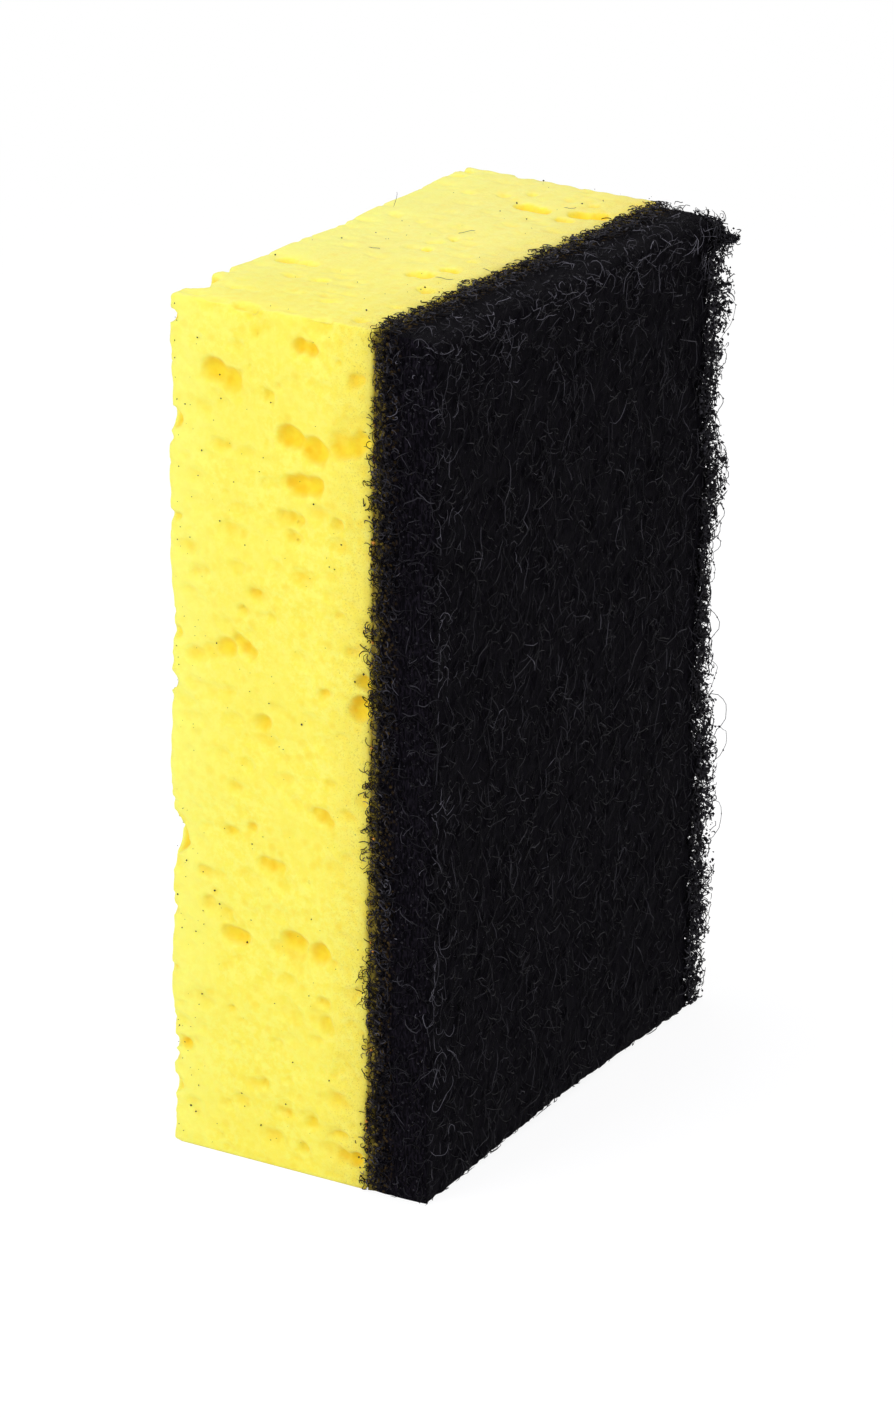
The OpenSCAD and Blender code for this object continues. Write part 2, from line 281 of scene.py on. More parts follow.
def add_mesh(name, points, faces, material):
    """A mesh object from points in millimetres."""
    mesh = bpy.data.meshes.new(name)
    mesh.from_pydata((np.asarray(points) * MM).tolist(), [], faces)
    mesh.materials.append(material)
    mesh.polygons.foreach_set("use_smooth", [True] * len(mesh.polygons))
    mesh.update()
    piece = bpy.data.objects.new(name, mesh)
    bpy.context.scene.collection.objects.link(piece)
    return piece


def apply_modifier(piece, kind, **settings):
    """Adds a modifier and turns its result into the piece's own mesh."""
    modifier = piece.modifiers.new(kind.lower(), kind)
    for key, value in settings.items():
        setattr(modifier, key, value)
    bpy.context.view_layer.objects.active = piece
    bpy.ops.object.modifier_apply(modifier=modifier.name)


def get_vectors(mesh, field):
    """The places, "co", or the normals, "normal", of all the points as one array."""
    vectors = np.empty(len(mesh.vertices) * 3)
    mesh.vertices.foreach_get(field, vectors)
    return vectors.reshape(-1, 3)


def set_points(mesh, points):
    mesh.vertices.foreach_set("co", (points * MM).ravel())
    mesh.update()


def keep_values(piece, name, values):
    """Stores a number for each point under a name that a material reads."""
    piece.data.attributes.new(name, "FLOAT", "POINT").data.foreach_set("value", values)


# Foam

def cut_depth(points):
    """How far each point lies below the foam's cut and rounded outside, where it is swollen."""
    x, y, z = points.T
    inside = np.stack([x - BACK_X + SWELL, y + HALF_W, HALF_W - y, z, TOP_Z - z])
    nearest = inside.min(axis=0)
    rounded = EDGE_R - np.linalg.norm(np.clip(EDGE_R - inside, 0, None), axis=0)
    return np.where(nearest < EDGE_R, rounded, nearest)


def cut_wave(points):
    """How far the cut wanders in and out, since foam gives under the blade."""
    x, y, z = points.T
    slow = 0.16 * np.sin(z * 0.21 + x * 0.15 + y * 0.11) + 0.11 * np.sin(z * 0.47 - y * 0.33 + 1.3)
    return slow + 0.05 * np.sin(z * 1.9 + x * 2.3)


def bubble_field(points, centres, sizes, depths):
    """Depth at each point of dishes with these centres, sizes along X, Y and Z, and depths."""
    depth = np.zeros(len(points))
    for centre, size, most in zip(centres, sizes, depths):
        near = np.flatnonzero(np.all(np.abs(points - centre) < size, axis=1))
        if len(near):
            squared = np.sum(((points[near] - centre) / size) ** 2, axis=1)
            dish = most * np.clip(1 - squared, 0, 1) ** 0.7
            depth[near] = np.maximum(depth[near], dish)
    return depth


def small_bubbles(count):
    """Small cells scattered over the five free faces, long across and short up."""
    width, height, thick = 2 * HALF_W, TOP_Z, SEAM_X - BACK_X
    areas = np.array([thick * height, thick * height, thick * width, thick * width, width * height])
    face = rng.choice(5, count, p=areas / areas.sum())
    near, far, top, bottom, back = (face == k for k in range(5))
    spots = rng.random((count, 3)) * (thick, width, height) + (BACK_X, -HALF_W, 0)
    spots[near, 1], spots[far, 1] = -HALF_W, HALF_W
    spots[top, 2], spots[bottom, 2] = TOP_Z, 0
    spots[back, 0] = BACK_X
    size = (0.5 + 1.1 * rng.random(count) ** 2.5)[:, None] * (1.25, 1.1, 0.85)
    size[top | bottom, 1:] *= (0.7, 1.4)
    depth = size.min(axis=1) * rng.uniform(0.15, 0.6, count)
    depth[top] *= 0.45
    return spots, size, depth


def make_foam(material):
    """The foam block: the solid remeshed finely, with small cells and a slightly uneven cut."""
    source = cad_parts["foam_block"]
    piece = source.copy()
    piece.data = source.data.copy()
    piece.name = "foam"
    # The copy is a piece of the scene, so it drops the solid's own properties
    for key in list(piece.keys()):
        del piece[key]
    bpy.context.scene.collection.objects.link(piece)
    piece.parent = None
    apply_modifier(piece, "REMESH", mode="VOXEL", voxel_size=FOAM_GRID * MM, use_smooth_shade=True)
    mesh = piece.data
    points, normals = get_vectors(mesh, "co") / MM, get_vectors(mesh, "normal")
    small = bubble_field(points, *small_bubbles(SMALL_CELLS))
    # The glued face and the base stay flat, and the relief comes in over these distances from them
    from_seam, from_base = 0.8, 0.6
    free = np.clip((SEAM_X - points[:, 0]) / from_seam, 0, 1)
    standing = np.clip(points[:, 2] / from_base, 0, 1)
    inward = free * (small + cut_wave(points))
    points -= normals * (inward * standing)[:, None]
    # The swell of the free face dies out over this depth behind it
    swell_depth = 8
    points[:, 0] -= SWELL * np.clip(1 - (points[:, 0] - BACK_X) / swell_depth, 0, 1)
    across, along, up = ((points - foam_lo) / (foam_hi - foam_lo)).clip(0, 1).T
    points[:, 2] -= TOP_DIP * across ** 2 * along ** 2 * up ** 6
    set_points(mesh, points)
    apply_modifier(piece, "DECIMATE", ratio=FOAM_TRIANGLES / (2 * len(mesh.polygons)))
    points = get_vectors(piece.data, "co") / MM
    # Relief up to this depth still counts as the outside, and no point counts as deeper than this
    shallow, deepest = 0.04, 4
    deep = np.clip(cut_depth(points) - cut_wave(points) - shallow, 0, deepest)
    # The depth below the cut outside, which the foam's material paints as shade down the cells
    keep_values(piece, "deep", deep)
    piece.data.materials.clear()
    piece.data.materials.append(material)
    return piece


# Fibres and beads

def fibre_tubes(name, paths, radii, shades, material):
    """One mesh of three-sided closed tubes. paths is (fibres, points, 3) in millimetres."""
    count, steps, _ = paths.shape
    along = np.gradient(paths, axis=1)
    along /= np.linalg.norm(along, axis=2, keepdims=True) + 1e-9
    helper = np.where(np.abs(along[..., 2:]) < 0.8, (0.0, 0.0, 1.0), (1.0, 0.0, 0.0))
    side = np.cross(along, helper)
    side /= np.linalg.norm(side, axis=2, keepdims=True) + 1e-9
    other = np.cross(along, side)
    taper = np.ones(steps)
    taper[[0, -1]] = 0.45
    reach = radii[:, None] * taper
    rings = [
        paths + reach[..., None] * (math.cos(turn) * side + math.sin(turn) * other)
        for turn in (0, 2 * math.pi / 3, 4 * math.pi / 3)
    ]
    points = np.stack(rings, axis=2).reshape(-1, 3)
    start = np.arange(count) * steps * 3
    end = start + (steps - 1) * 3
    ring = start[:, None, None] + (np.arange(steps - 1) * 3)[None, :, None]
    corner = np.arange(3)[None, None, :]
    one, two = ring + corner, ring + (corner + 1) % 3
    quads = np.stack([one, two, two + 3, one + 3], axis=-1).reshape(-1, 4)
    caps = np.concatenate([start[:, None] + (2, 1, 0), end[:, None] + (0, 1, 2)])
    piece = add_mesh(name, points, quads.tolist() + caps.tolist(), material)
    keep_values(piece, "shade", np.repeat(shades, steps * 3))
    return piece


def curly_paths(starts, headings, lengths, steps, curl, hold=None, kinks=0.16):
    """Fibres that set off from starts along headings and wander as they go.

    Steps is how many points a fibre has, curl how far it turns over its length, in radians, and kinks
    how unevenly. Hold is a rule that moves points back to where a fibre may lie."""
    count = len(starts)
    spin = rng.normal(size=(count, 3))
    spin /= np.linalg.norm(spin, axis=1, keepdims=True)
    rate = curl * rng.uniform(0.4, 1.6, count) / (steps - 1)
    direction = headings / np.linalg.norm(headings, axis=1, keepdims=True)
    step = (lengths / (steps - 1))[:, None]
    paths = np.empty((count, steps, 3))
    paths[:, 0] = starts
    for k in range(1, steps):
        turn = np.cross(spin, direction) * rate[:, None]
        direction = direction + turn + rng.normal(size=(count, 3)) * kinks
        direction /= np.linalg.norm(direction, axis=1, keepdims=True)
        paths[:, k] = paths[:, k - 1] + direction * step
        if hold is not None:
            paths[:, k] = hold(paths[:, k])
    return paths


def crumbs(name, places, radii, shades, material):
    """Beads of resin, glue or dust, each a small uneven octahedron that stays above the floor."""
    count = len(places)
    smallest, largest = 0.6, 1.3
    places = np.column_stack([places[:, :2], np.maximum(places[:, 2], largest * radii)])
    ways = np.array([(1, 0, 0), (0, 1, 0), (-1, 0, 0), (0, -1, 0), (0, 0, 1), (0, 0, -1)], float)
    size = radii[:, None, None] * rng.uniform(smallest, largest, (count, 6, 1))
    points = (places[:, None] + ways * size).reshape(-1, 3)
    upper = [(k, (k + 1) % 4, 4) for k in range(4)]
    lower = [((k + 1) % 4, k, 5) for k in range(4)]
    corners = np.array(upper + lower)
    faces = (corners[None] + (np.arange(count) * 6)[:, None, None]).reshape(-1, 3)
    piece = add_mesh(name, points, faces.tolist(), material)
    keep_values(piece, "shade", np.repeat(shades, 6))
    return piece


def fibre_shades(count, most, bright):
    """Shade of each fibre, from 0, black, to 1, grey. Most are near black, and a few are painted grey as
    highlights.
    """
    shades = rng.random(count) ** 4 * most
    # Painted highlights: a few fibres are grey where they would catch the light
    lit = rng.random(count) < bright
    shades[lit] = rng.uniform(0.25, 0.75, lit.sum())
    return shades


def fibre_radii(shades, thin, thick):
    """A radius for each fibre, finer for those with a painted highlight."""
    return rng.uniform(thin, thick, len(shades)) * np.where(shades > 0.2, 0.72, 1)


# Pad

PAD_T = FRONT_X - SEAM_X
# How far each cut side of the pad tapers in from the glue to the face, and the radius of its edge
PAD_FORM = {"near": (0.2, 0.8), "far": (0.0, 0.6), "top": (0.6, 1.5), "bottom": (0.0, 0.3)}
# How far the lower side bows up, and how far the worn far top corner hangs down at the face
BOW, CORNER_DROP = 0.85, 0.6
# Bulges of the web that stands out past the far side: height, half-length and reach
WEB_BULGES = ((96, 10, 4.6), (73, 6, 5.2), (40, 12, 2.2), (18, 20, 4.2))
# The cut sides: place in pad_limits, axis, way out along it, and share of the fibres
CUT_SIDES = {
    "near": (0, 1, -1, 1.4 * TOP_Z), "far": (1, 1, 1, TOP_Z),
    "bottom": (2, 2, -1, HALF_W), "top": (3, 2, 1, 2 * HALF_W)
}


def pad_inset(x, side):
    """How far a side of the pad lies inside the full outline at depth x."""
    taper, radius = PAD_FORM[side]
    from_face = np.clip(FRONT_X - x, 0, PAD_T)
    corner = np.clip(radius - from_face, 0, radius)
    return radius - np.sqrt(radius ** 2 - corner ** 2) + taper * (1 - from_face / PAD_T)


def pad_limits(x, y):
    """Lowest and highest Y, and lowest and highest Z, that the pad reaches at x and y."""
    share = np.clip(0.5 + y / (2 * HALF_W), 0, 1)
    forward = np.clip((x - SEAM_X) / PAD_T, 0, 1)
    low_z = pad_inset(x, "bottom") + BOW * (4 * share * (1 - share)) ** 2
    fallen = TOP_DIP * share ** 2 * (1 - forward) + CORNER_DROP * share ** 7 * forward
    high_z = TOP_Z - pad_inset(x, "top") - fallen
    return pad_inset(x, "near") - HALF_W, HALF_W - pad_inset(x, "far"), low_z, high_z


def web_depth(z):
    """How far in from its far side the pad is an open web, which wanders along its height."""
    wander = 0.6 * np.sin(z * 0.16) + 0.5 * np.sin(z * 0.31 + 0.6)
    wander += 0.4 * np.sin(z * 0.83) + 0.4 * np.sin(z * 1.9)
    return (0.3 + 1.4 * z / TOP_Z + wander) * np.clip(np.minimum(z, TOP_Z - z - 2) / 5, 0.1, 1)


def web_reach(z):
    """How far the web stands out past the far side."""
    return 0.9 + sum(reach * np.exp(-((z - height) / half) ** 2) for height, half, reach in WEB_BULGES)


def keep_in_pad(loose, in_web=False):
    """Returns a rule that holds fibres inside the pad's form, give or take loose, but never below it.

    in_web lets them reach out as far as the far side's web."""
    def rule(points):
        points = points.copy()
        points[:, 0] = np.clip(points[:, 0], SEAM_X + 0.1, FRONT_X - 0.1 + loose)
        low_y, high_y, low_z, high_z = pad_limits(points[:, 0], points[:, 1])
        past = web_reach(points[:, 2]) if in_web else loose
        points[:, 1] = np.clip(points[:, 1], low_y - loose, high_y + past)
        points[:, 2] = np.clip(points[:, 2], low_z + 0.1, high_z + loose)
        return points
    return rule


def painted_light_by_height(z):
    """How much paler the fibres at each height are painted: painted highlight on the upper ones, which are
    curled up into the light.
    """
    return np.interp(z, (0, 30, TOP_Z - 14, TOP_Z - 2), (0.7, 0.9, 1.0, 3.2))


def face_fibres(name, count, material):
    """Fine fibres that lie on the matted face and dip in and out: upright, but curled near the top."""
    y = rng.uniform(-HALF_W + 0.6, HALF_W - 0.6, count)
    z = rng.uniform(1.4, TOP_Z - 1.6, count)
    # Half of the fibres that would lie over the open web move in onto the mat
    in_web = (y > HALF_W - web_depth(z)) & (rng.random(count) < 0.5)
    y[in_web] -= rng.uniform(4, 40, in_web.sum())
    starts = np.column_stack([FRONT_X - 0.1 - 0.9 * rng.random(count) ** 1.3, y, z])
    lying = (z > TOP_Z - 11) | (rng.random(count) < 0.12)
    headings = np.column_stack([
        rng.normal(0, 0.2, count),
        np.where(lying, rng.choice([-1, 1], count), rng.normal(0, 0.38, count)),
        np.where(lying, rng.normal(0, 0.5, count), rng.choice([-1, 1], count))
    ])
    curl = np.where(lying, 3.0, 1.3)
    lengths = rng.uniform(1.8, 5.8, count)
    paths = curly_paths(starts, headings, lengths, steps=6, curl=curl, hold=keep_in_pad(0.1), kinks=0.28)
    shades = fibre_shades(count, most=0.19, bright=0.01) * painted_light_by_height(z)
    return fibre_tubes(name, paths, fibre_radii(shades, 0.036, 0.07), shades, material)


def edge_hairs(name, count, material):
    """Longer hairs that lie along the face's near and top edges, painted pale as highlights where they
    catch the light.
    """
    upright = rng.random(count) < 0.5
    inward = 0.4 + np.abs(rng.normal(0, 3.4, count))
    run = rng.random(count)
    y = np.where(upright, inward - HALF_W, (2 * run - 1) * (HALF_W - 2))
    z = np.where(upright, 4 + run * (TOP_Z - 12), TOP_Z - 0.8 - 0.8 * inward)
    way, tilt = rng.choice([-1, 1], count), rng.normal(0, 0.35, count)
    headings = np.column_stack([
        np.zeros(count), np.where(upright, tilt, way), np.where(upright, way, tilt)
    ])
    starts = np.column_stack([np.full(count, FRONT_X), y, z])
    lengths = rng.uniform(2.2, 6.5, count)
    paths = curly_paths(starts, headings, lengths, steps=11, curl=2.8, hold=keep_in_pad(0.15), kinks=0.2)
    # Their pale grey is painted highlight
    radii, shades = rng.uniform(0.024, 0.036, count), rng.uniform(0.3, 0.8, count)
    return fibre_tubes(name, paths, radii, shades, material)


def rim_places(count, sides, x_low, x_high):
    """Places on the pad's cut sides: points and ways out."""
    share = np.array([CUT_SIDES[s][3] for s in sides])
    side = rng.choice(len(sides), count, p=share / share.sum())
    x = rng.uniform(x_low, x_high, count)
    run = rng.random(count)
    points = np.column_stack([x, (2 * run - 1) * (HALF_W - 0.5), 0.5 + run * (TOP_Z - 1.5)])
    limits = pad_limits(x, points[:, 1])
    outs = np.zeros((count, 3))
    for k, name in enumerate(sides):
        here = side == k
        limit, axis, sign, _ = CUT_SIDES[name]
        points[here, axis] = limits[limit][here]
        outs[here, axis] = sign
    return points, outs


def side_fibres(name, count, sides, material):
    """Short curled fibres matted into the cut sides."""
    points, outs = rim_places(count, sides, SEAM_X + 0.1, FRONT_X - 0.1)
    points -= outs * (rng.random(count) * 0.7)[:, None]
    headings = rng.normal(size=(count, 3)) * (0.8, 1, 1.4)
    lengths = rng.uniform(1.6, 4.2, count)
    paths = curly_paths(points, headings, lengths, steps=7, curl=3.0, hold=keep_in_pad(0.25), kinks=0.3)
    shades = fibre_shades(count, most=0.24, bright=0.03) * painted_light_by_height(points[:, 2])
    return fibre_tubes(name, paths, fibre_radii(shades, 0.038, 0.075), shades, material)


def make_core(material):
    """The matted inside: the pad's form, set in a little, lumpy, and open along the far side."""
    columns, rows, layers = 80, 124, 8
    near_inset, top_inset, floor_gap = 0.3, 0.35, 0.02
    depths = np.linspace(SEAM_X + 0.12, FRONT_X - 0.4, layers)

    def core_point(x, u, v):
        low_y, high_y, low_z, high_z = pad_limits(x, (2 * u - 1) * HALF_W)
        low_z, high_z = low_z + floor_gap, high_z - top_inset
        z = low_z + (high_z - low_z) * v
        low_y, high_y = low_y + near_inset, high_y - web_depth(z)
        return (x, low_y + (high_y - low_y) * u, z)

    # A ring of points round each layer, closed at the seam, and a grid over the face
    rim = [(i, 0) for i in range(columns)] + [(columns - 1, j) for j in range(1, rows)]
    rim += [(i, rows - 1) for i in range(columns - 2, -1, -1)] + [(0, j) for j in range(rows - 2, 0, -1)]
    size = len(rim)
    points = [core_point(x, i / (columns - 1), j / (rows - 1)) for x in depths for i, j in rim]
    faces = [tuple(range(size))[::-1]]
    for layer in range(layers - 1):
        one, two = layer * size, (layer + 1) * size
        for k in range(size):
            n = (k + 1) % size
            faces.append((one + k, one + n, two + n, two + k))
    grid = {place: (layers - 1) * size + k for k, place in enumerate(rim)}
    for i in range(1, columns - 1):
        for j in range(1, rows - 1):
            grid[i, j] = len(points)
            points.append(core_point(depths[-1], i / (columns - 1), j / (rows - 1)))
    for i in range(columns - 1):
        for j in range(rows - 1):
            faces.append((grid[i, j], grid[i + 1, j], grid[i + 1, j + 1], grid[i, j + 1]))
    # Lumps that grow with the distance from the seam, and are largest by the web
    points = np.array(points)
    away = np.clip((points[:, 0] - SEAM_X) / 1.5, 0, 1)
    points[:, 0] -= np.abs(rng.normal(size=len(points))) * 0.2 * away
    points[:, 1] += np.sign(-points[:, 1]) * np.abs(rng.normal(size=len(points))) * 0.12 * away
    at_web = np.clip(points[:, 1] - HALF_W + web_depth(points[:, 2]) + 1, 0, 1)
    points[:, 1] -= at_web * np.abs(rng.normal(size=len(points))) * away
    return add_mesh("pad_core", points, faces, material)


def web_places(count, thinning=2.0):
    """Places in the far side's open web: clumps with holes between them, fewer further out and back."""
    tries = 3 * count
    z = rng.uniform(0.2, TOP_Z - 1.6, tries)
    depth = web_depth(z) + 0.9
    out = 1 - rng.random(tries) ** (1 / thinning)
    y = HALF_W - depth + out * (depth + web_reach(z))
    clump = np.sin(2.3 * z + 1.4 * np.sin(1.9 * y)) * np.sin(2.6 * y + 1.2 * np.sin(1.5 * z))
    kept = np.flatnonzero((clump > -0.1) | (rng.random(tries) < 0.18))[:count]
    x = FRONT_X - 0.1 - (PAD_T - 0.6) * rng.random(len(kept)) ** 3
    return np.column_stack([x, y[kept], np.minimum(z[kept], pad_limits(x, y[kept])[3])])


def far_web(name, count, material):
    """The see-through web along the far side, which thins out towards its edge."""
    headings = rng.normal(size=(count, 3))
    lengths = rng.uniform(0.9, 3.2, count)
    hold = keep_in_pad(0.3, in_web=True)
    paths = curly_paths(web_places(count), headings, lengths, steps=6, curl=2.2, hold=hold, kinks=0.4)
    shades = fibre_shades(count, most=0.2, bright=0.01)
    return fibre_tubes(name, paths, rng.uniform(0.045, 0.1, count), shades, material)


def far_loops(count, material):
    """Thin loops that stand out past the far side, with beads on them."""
    steps = 13
    angle = np.linspace(0, math.pi, steps)
    start_z = rng.uniform(6, TOP_Z - 12, count)
    reach = 0.6 + 0.6 * web_reach(start_z) + 2.6 * rng.random(count) ** 2.5
    spread = rng.uniform(1.5, 3.2, count) * (1 + reach / 3)
    x = rng.uniform(FRONT_X - 3.5, FRONT_X - 0.3, count)
    paths = np.stack([
        x[:, None] + 0.25 * reach[:, None] * np.sin(angle),
        HALF_W - 0.9 + (reach[:, None] + 0.9) * np.sin(angle) ** 0.8,
        start_z[:, None] + spread[:, None] * (1 - np.cos(angle)) / 2,
    ], axis=-1)
    paths += np.cumsum(rng.normal(size=paths.shape) * 0.15, axis=1)
    radii = rng.uniform(0.035, 0.06, count)
    loops = fibre_tubes("far_loops", paths, radii, np.full(count, 0.08), material)
    beads = 5 * count
    places = paths[rng.integers(count, size=beads), rng.integers(1, steps - 1, size=beads)]
    bead_radii = rng.uniform(0.08, 0.2, beads)
    return [loops, crumbs("loop_beads", places, bead_radii, np.full(beads, 0.03), material)]


def tuft_places(count):
    """Places in the clump that flares out of the far top corner, from its root to its tip."""
    along = rng.random(count)[:, None] ** 1.3
    root = np.array((FRONT_X - 1.8, HALF_W - 1.2, TOP_Z - 3.9))
    tip = np.array((FRONT_X + 1.2, HALF_W + 2.6, TOP_Z - 4.6))
    return root + (tip - root) * along + rng.normal(size=(count, 3)) * (1.3, 0.7, 1.0) * (1.1 - along)


def corner_tuft(name, count, material):
    """The fibres of the clump that flares out of the far top corner."""
    headings = rng.normal(size=(count, 3))
    starts, lengths = tuft_places(count), rng.uniform(0.6, 1.4, count)
    paths = curly_paths(starts, headings, lengths, steps=7, curl=5.5)
    shades = fibre_shades(count, most=0.25, bright=0.02)
    return fibre_tubes(name, paths, rng.uniform(0.06, 0.11, count), shades, material)


def pad_crumbs(name, material):
    """Beads of resin in the far web, in the corner tuft and on the near and top cut sides, and the
    larger knots that close the web at its root."""
    on_sides, in_web, in_tuft, at_root = 1300, 3600, 300, 5400
    sides, outs = rim_places(on_sides, ("near", "top"), SEAM_X, FRONT_X - 0.2)
    beads = np.concatenate([web_places(in_web), tuft_places(in_tuft), sides + 0.1 * outs])
    knots = web_places(at_root, thinning=3.0)
    size = np.concatenate([rng.uniform(0.08, 0.2, len(beads)), rng.uniform(0.13, 0.4, len(knots))])
    places = np.concatenate([beads, knots])
    return crumbs(name, places, size, rng.random(len(places)) ** 3 * 0.15, material)


def seam_wave(run):
    """How far the black edge wanders over the foam along the seam, in millimetres."""
    return 0.35 * np.sin(run * 0.29) + 0.28 * np.sin(run * 0.71 + 1) + 0.22 * np.sin(run * 2.3)


def seam_fibres(name, count, material):
    """Knotted little loops along the near, top and far seams, over the foam's edge and onto the pad."""
    near_share, top_share, far_share = 0.5, 0.28, 0.22
    side = rng.choice(3, count, p=(near_share, top_share, far_share))
    near, top = side == 0, side == 1
    run = rng.random(count)
    z = np.where(top, TOP_Z, 0.4 + run * (TOP_Z - 1.0))
    y = np.where(top, (2 * run - 1) * (HALF_W - 0.3), np.where(near, -HALF_W, HALF_W))
    x = SEAM_X - 0.1 + 2.9 * rng.random(count) ** 1.35 - seam_wave(np.where(top, y + 40, z))
    headings = rng.normal(size=(count, 3))
    lengths = rng.uniform(1.0, 2.5, count)
    paths = curly_paths(np.column_stack([x, y, z]), headings, lengths, steps=7, curl=6.0)
    past = np.where(top[:, None], paths[..., 2] - TOP_Z, np.abs(paths[..., 1]) - HALF_W)
    rise = np.clip(past, -0.3, 0.22)
    dip = TOP_DIP * (0.5 + paths[..., 1] / (2 * HALF_W)).clip(0, 1) ** 2
    paths[top, :, 2] = (TOP_Z + rise - dip)[top]
    paths[~top, :, 1] = (np.sign(y)[:, None] * (HALF_W + rise))[~top]
    paths[..., 2] = np.maximum(paths[..., 2], 0.12)
    shades = fibre_shades(count, most=0.3, bright=0.03)
    return fibre_tubes(name, paths, rng.uniform(0.045, 0.08, count), shades, material)


def foam_specks(name, material):
    """Tiny dark crumbs of the pad that cling to the foam, more of them towards its free face."""
    near, top, hidden = 260, 60, 90
    by_edge = rng.random(near) < 0.4
    x = np.where(by_edge, BACK_X + rng.exponential(1.8, near), rng.uniform(BACK_X, SEAM_X, near))
    near_places = np.column_stack([
        np.clip(x, BACK_X + 0.2, SEAM_X), np.full(near, -HALF_W), rng.uniform(1, TOP_Z - 1, near)
    ])
    top_places = np.column_stack([
        rng.uniform(BACK_X + 0.5, SEAM_X, top), rng.uniform(-HALF_W, HALF_W, top), np.full(top, TOP_Z)
    ])
    back_places = np.column_stack([
        np.full(hidden, BACK_X), rng.uniform(-HALF_W, HALF_W, hidden), rng.uniform(1, TOP_Z - 1, hidden)
    ])
    places = np.concatenate([near_places, top_places, back_places])
    radii = 0.05 + 0.12 * rng.random(len(places)) ** 3
    return crumbs(name, places, radii, rng.random(len(places)) * 0.12, material)


def stray_hairs(name, material):
    """A few loose fibres on the foam's top, as the photo shows them."""
    starts = np.array([
        (-16.2, 13.0, TOP_Z), (-9.0, -5.5, TOP_Z + 0.1), (4.6, -13.0, TOP_Z + 0.1),
        (-3.0, 6.0, TOP_Z + 0.1), (2.0, 24.0, TOP_Z + 0.1)
    ])
    headings = np.array([(0.2, 0.5, 1.6), (1, 0.6, 0.1), (1, -0.2, 0.15), (0.6, 1, 0.1), (1, 0.2, 0.1)])
    lengths = np.array([2.8, 2.6, 2.8, 2.2, 2.0])
    paths = curly_paths(starts, headings, lengths, steps=11, curl=1.1, kinks=0.05)
    paths[1:, :, 2] = np.clip(paths[1:, :, 2], TOP_Z, TOP_Z + 0.4)
    count = len(starts)
    return fibre_tubes(name, paths, np.full(count, 0.035), np.full(count, 0.5), material)


def seam_glue(name, material):
    """Beads of dried glue along the near seam, at heights seen in the photo."""
    heights = np.array([8.6, 9.4, 19.0, 32.0, 33.1, 46.5, 58.0, 71.2, 83.5])
    count = len(heights)
    places = np.column_stack([
        SEAM_X + rng.uniform(-0.1, 0.9, count), np.full(count, -HALF_W - 0.15), heights
    ])
    return crumbs(name, places, rng.uniform(0.18, 0.34, count), np.zeros(count), material)


# Scene

def make_camera():
    """The camera that was fitted to the sponge's corners in the photo.

    Its angles are in degrees, its distance and shifts in millimetres and its focal length in pixels of
    the photo."""
    azimuth, elevation, roll = (math.radians(a) for a in (29.29, 20.40, 0.85))
    distance, pan, rise = 616.0, -0.26, -4.64
    focal_px, photo_height_px = 4928.0, 1418
    back = Vector((
        math.sin(azimuth) * math.cos(elevation),
        -math.cos(azimuth) * math.cos(elevation),
        math.sin(elevation),
    ))
    right = Vector((math.cos(azimuth), math.sin(azimuth), 0))
    up = back.cross(right)
    rolled_right = math.cos(roll) * right + math.sin(roll) * up
    rolled_up = -math.sin(roll) * right + math.cos(roll) * up
    data = bpy.data.cameras.new("camera")
    camera = bpy.data.objects.new("camera", data)
    bpy.context.scene.collection.objects.link(camera)
    place = Vector((0, 0, TOP_Z / 2)) + back * distance + rolled_right * pan + rolled_up * rise
    turn = Matrix((rolled_right, rolled_up, back)).transposed().to_4x4()
    camera.matrix_world = Matrix.Translation(place * MM) @ turn
    data.sensor_width = 36.0
    data.lens = focal_px * data.sensor_width / photo_height_px
    data.clip_start, data.clip_end = 0.01, 20
    bpy.context.scene.camera = camera


def make_light(name, size, power, place, target):
    """A square light, with its size and place in metres and its power in watts."""
    data = bpy.data.lights.new(name, "AREA")
    data.shape = "SQUARE"
    data.size = size
    data.energy = power
    light = bpy.data.objects.new(name, data)
    light.location = place
    light.rotation_euler = (Vector(target) - Vector(place)).to_track_quat("-Z", "Y").to_euler()
    bpy.context.scene.collection.objects.link(light)


def eye_rays(tree):
    """1 for a ray that the camera sees by, also in a mirror or through a clear thing, or else 0."""
    rays = add(tree, "ShaderNodeLightPath").outputs
    bent = maths(tree, "MAXIMUM", rays["Is Glossy Ray"], rays["Is Transmission Ray"])
    return maths(tree, "MAXIMUM", rays["Is Camera Ray"], bent)


def make_world():
    """A world that looks white and lights the sponge more softly."""
    world = bpy.data.worlds.new("studio")
    world.use_nodes = True
    tree = world.node_tree
    tree.nodes.clear()
    seen_strength, light_strength = 1.0, 0.45
    extra = times(tree, eye_rays(tree), seen_strength - light_strength)
    strength = maths(tree, "ADD", extra, light_strength)
    sky = add(tree, "ShaderNodeBackground", {"Color": (1, 1, 1, 1), "Strength": strength})
    add(tree, "ShaderNodeOutputWorld", {"Surface": sky.outputs[0]})
    bpy.context.scene.world = world


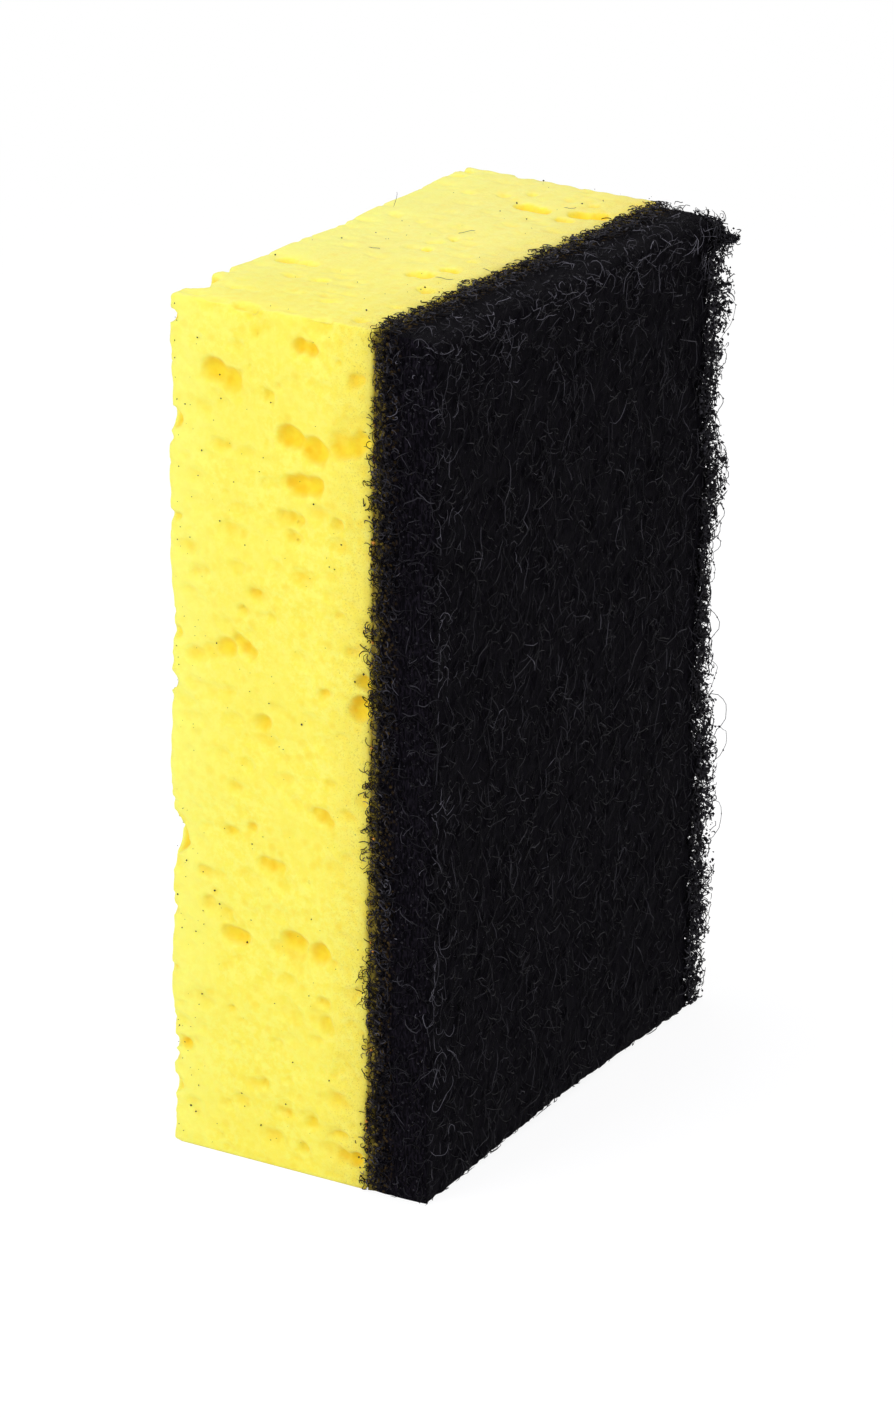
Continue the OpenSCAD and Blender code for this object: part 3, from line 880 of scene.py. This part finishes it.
def make_floor():
    """A white floor that shows the sponge's faint shadow, and that turns pure white further off."""
    material, tree = new_material("floor")
    away = add(tree, "ShaderNodeVectorMath", {0: geometry(tree, "Position")}, operation="LENGTH")
    far = span(tree, away.outputs["Value"], 0.12, 0.5)
    lit = add(tree, "ShaderNodeBsdfDiffuse", {"Color": (0.9, 0.9, 0.9, 1)})
    shadowed = add(tree, "ShaderNodeBsdfDiffuse", {"Color": (0.18, 0.18, 0.19, 1)})
    glow = add(tree, "ShaderNodeEmission", {"Color": (1, 1, 1, 1), "Strength": 0.88})
    white = add(tree, "ShaderNodeEmission", {"Color": (1, 1, 1, 1), "Strength": 1.0})
    near = add(tree, "ShaderNodeAddShader", {0: shadowed.outputs[0], 1: glow.outputs[0]})
    shown = add(tree, "ShaderNodeMixShader", {0: far, 1: near.outputs[0], 2: white.outputs[0]})
    both = add(tree, "ShaderNodeMixShader", {0: eye_rays(tree), 1: lit.outputs[0], 2: shown.outputs[0]})
    surface(tree, both.outputs[0])
    half = 3000
    corners = [(-half, -half, 0), (half, -half, 0), (half, half, 0), (-half, half, 0)]
    floor = add_mesh("floor", corners, [(0, 1, 2, 3)], material)


def make_lights():
    """A key light on the foam's near side, a weaker one on the pad and one above."""
    target = (0, 0, 0.055)
    make_light("key", 0.5, 3.85, (-0.35, -0.75, 0.55), target)
    make_light("fill", 0.6, 2.2, (0.8, -0.35, 0.45), target)
    make_light("top", 0.5, 2.1, (0.0, 0.1, 0.95), target)


bpy.context.scene.view_settings.view_transform = "Standard"
make_camera()
make_world()
make_floor()
make_lights()

foam = make_foam(foam_material())
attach(foam, "root")
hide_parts("foam_block")

amber = glue_material()
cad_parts["glue_film"].material_slots[0].material = amber

fibre = fibre_material()
core = make_core(core_material())
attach(core, "root")
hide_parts("scouring_pad")

fibre_share = 1.0
fibre_pieces = [
    face_fibres("face_fibres_a", int(3900 * fibre_share), fibre),
    face_fibres("face_fibres_b", int(3900 * fibre_share), fibre),
    edge_hairs("edge_hairs", 140, fibre),
    side_fibres("side_fibres", int(2800 * fibre_share), ("near", "top", "bottom", "far"), fibre),
    far_web("far_web", 4300, fibre),
    *far_loops(46, fibre),
    corner_tuft("corner_tuft", 460, fibre),
    seam_fibres("seam_fibres", 3700, fibre),
    pad_crumbs("pad_crumbs", fibre),
    foam_specks("foam_specks", fibre),
    stray_hairs("stray_hairs", fibre),
]
glue_beads = seam_glue("seam_glue", amber)
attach(glue_beads, "root")
for piece in fibre_pieces:
    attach(piece, "root")
